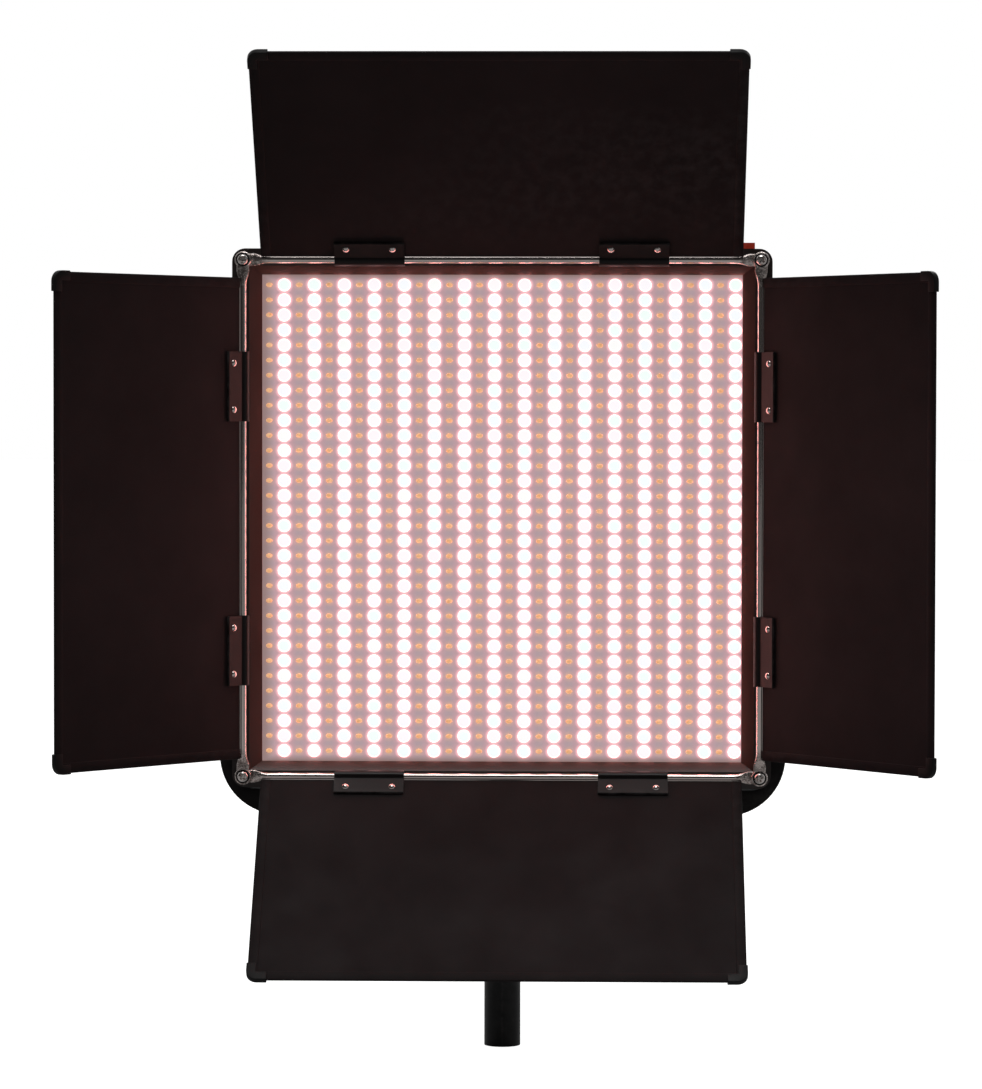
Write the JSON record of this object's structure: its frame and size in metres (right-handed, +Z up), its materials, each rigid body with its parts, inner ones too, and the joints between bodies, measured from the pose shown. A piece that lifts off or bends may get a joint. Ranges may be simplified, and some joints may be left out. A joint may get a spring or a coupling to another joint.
{
  "type": "led panel light",
  "caption": "Square LED panel light with hinged barn-door leaves on polished rods, held in a U yoke with side tilt knobs on a tubular stand receiver.",
  "frame": {"origin": "centre of the stand socket's mouth, on the receiver tube's lower rim", "axes": "+Z up along the socket, -Y the way the light faces, +X to the right for someone who looks at the lit face"},
  "size_m": [0.485, 0.2174, 0.5708],
  "materials": {
    "bezel_paint": "moulded, fine grain, satin black",
    "shell_plastic": "moulded, fine grain, matt black",
    "led_board": "white printed circuit board, lit, seen as mauve grey",
    "sink_aluminium": "bare extruded",
    "circuit_board": "green printed circuit board",
    "display_glass": "dark window",
    "control_plastic": "moulded black",
    "rocker_red": "moulded red",
    "rod_chrome": "polished",
    "screw_steel": "nickel plated",
    "washer_nylon": "natural nylon",
    "knob_plastic": "moulded black",
    "yoke_paint": "powder coat, fine texture",
    "receiver_paint": "satin black",
    "leaf_paint": "matt black powder coat",
    "clip_paint": "satin black",
    "cap_plastic": "moulded black"
  },
  "bodies": {
    "receiver": {"receiver_tube": "receiver_paint", "receiver_collar": "receiver_paint", "yoke_washer": "washer_nylon", "yoke_bolt": "screw_steel"},
    "clamp_screw": {"t_screw": "screw_steel"},
    "yoke": {"yoke": "yoke_paint", "pivot_washer_left": "washer_nylon", "pivot_washer_right": "washer_nylon"},
    "knob_left": {"tilt_stud_left": "screw_steel", "tilt_knob_left": "knob_plastic"},
    "knob_right": {"tilt_stud_right": "screw_steel", "tilt_knob_right": "knob_plastic"},
    "panel": {"front_bezel": "bezel_paint", "led_board": "led_board", "heat_sink": "sink_aluminium", "rear_shell": "shell_plastic", "rear_cover": "shell_plastic", "driver_board": "circuit_board", "display_window": "display_glass", "power_inlet": "control_plastic", "switch_frame": "control_plastic", "rod_top": "rod_chrome", "rod_bottom": "rod_chrome", "rod_left": "rod_chrome", "rod_right": "rod_chrome", "corner_screw_1": "screw_steel", "corner_screw_2": "screw_steel", "corner_screw_3": "screw_steel", "corner_screw_4": "screw_steel", "pivot_bush_left": "screw_steel", "pivot_bush_right": "screw_steel"},
    "rocker": {"power_rocker": "rocker_red"},
    "dial_left": {"dial_1": "control_plastic"},
    "dial_right": {"dial_2": "control_plastic"},
    "key_left": {"button_1": "control_plastic"},
    "key_right": {"button_2": "control_plastic"},
    "leaf_top": {"leaf_top": "leaf_paint", "clip_top_1": "clip_paint", "clip_top_2": "clip_paint", "cap_top_1": "cap_plastic", "cap_top_2": "cap_plastic"},
    "leaf_bottom": {"leaf_bottom": "leaf_paint", "clip_bottom_1": "clip_paint", "clip_bottom_2": "clip_paint", "cap_bottom_1": "cap_plastic", "cap_bottom_2": "cap_plastic"},
    "leaf_left": {"leaf_left": "leaf_paint", "clip_left_1": "clip_paint", "clip_left_2": "clip_paint", "cap_left_1": "cap_plastic", "cap_left_2": "cap_plastic"},
    "leaf_right": {"leaf_right": "leaf_paint", "clip_right_1": "clip_paint", "clip_right_2": "clip_paint", "cap_right_1": "cap_plastic", "cap_right_2": "cap_plastic"}
  },
  "joints": [
    {"name": "pan", "type": "hinge", "parent": "receiver", "child": "yoke", "pos_m": [0, 0, 0.135], "axis": [0, 0, 1], "continuous": true},
    {"name": "tilt", "type": "hinge", "parent": "yoke", "child": "panel", "pos_m": [0, 0, 0.31], "axis": [-1, 0, 0], "range_deg": [-7, 90]},
    {"name": "knob_left_turn", "type": "hinge", "parent": "yoke", "child": "knob_left", "pos_m": [-0.17, 0, 0.31], "axis": [-1, 0, 0], "range_deg": [0, 360]},
    {"name": "knob_right_turn", "type": "hinge", "parent": "yoke", "child": "knob_right", "pos_m": [0.17, 0, 0.31], "axis": [1, 0, 0], "range_deg": [0, 360]},
    {"name": "clamp_screw_turn", "type": "hinge", "parent": "receiver", "child": "clamp_screw", "pos_m": [0, 0.03, 0.1], "axis": [0, 1, 0], "range_deg": [0, 360]},
    {"name": "leaf_top_hinge", "type": "hinge", "parent": "panel", "child": "leaf_top", "pos_m": [0, -0.051, 0.4583], "axis": [-1, 0, 0], "range_deg": [-139, 51]},
    {"name": "leaf_bottom_hinge", "type": "hinge", "parent": "panel", "child": "leaf_bottom", "pos_m": [0, -0.051, 0.1617], "axis": [1, 0, 0], "range_deg": [-135, 55]},
    {"name": "leaf_left_hinge", "type": "hinge", "parent": "panel", "child": "leaf_left", "pos_m": [-0.1483, -0.053, 0.31], "axis": [0, 0, -1], "range_deg": [-119, 60]},
    {"name": "leaf_right_hinge", "type": "hinge", "parent": "panel", "child": "leaf_right", "pos_m": [0.1483, -0.053, 0.31], "axis": [0, 0, 1], "range_deg": [-117, 62]},
    {"name": "rocker_tip", "type": "hinge", "parent": "panel", "child": "rocker", "pos_m": [0.1388, -0.012, 0.464], "axis": [1, 0, 0], "range_deg": [0, 16]},
    {"name": "dial_left_turn", "type": "hinge", "parent": "panel", "child": "dial_left", "pos_m": [-0.056, 0.04, 0.34], "axis": [0, 1, 0], "continuous": true},
    {"name": "dial_right_turn", "type": "hinge", "parent": "panel", "child": "dial_right", "pos_m": [0.056, 0.04, 0.34], "axis": [0, 1, 0], "continuous": true},
    {"name": "key_left_press", "type": "slide", "parent": "panel", "child": "key_left", "axis": [0, -1, 0], "range_m": [0, 0.0012], "stiffness_N_per_m": 800},
    {"name": "key_right_press", "type": "slide", "parent": "panel", "child": "key_right", "axis": [0, -1, 0], "range_m": [0, 0.0012], "stiffness_N_per_m": 800}
  ]
}
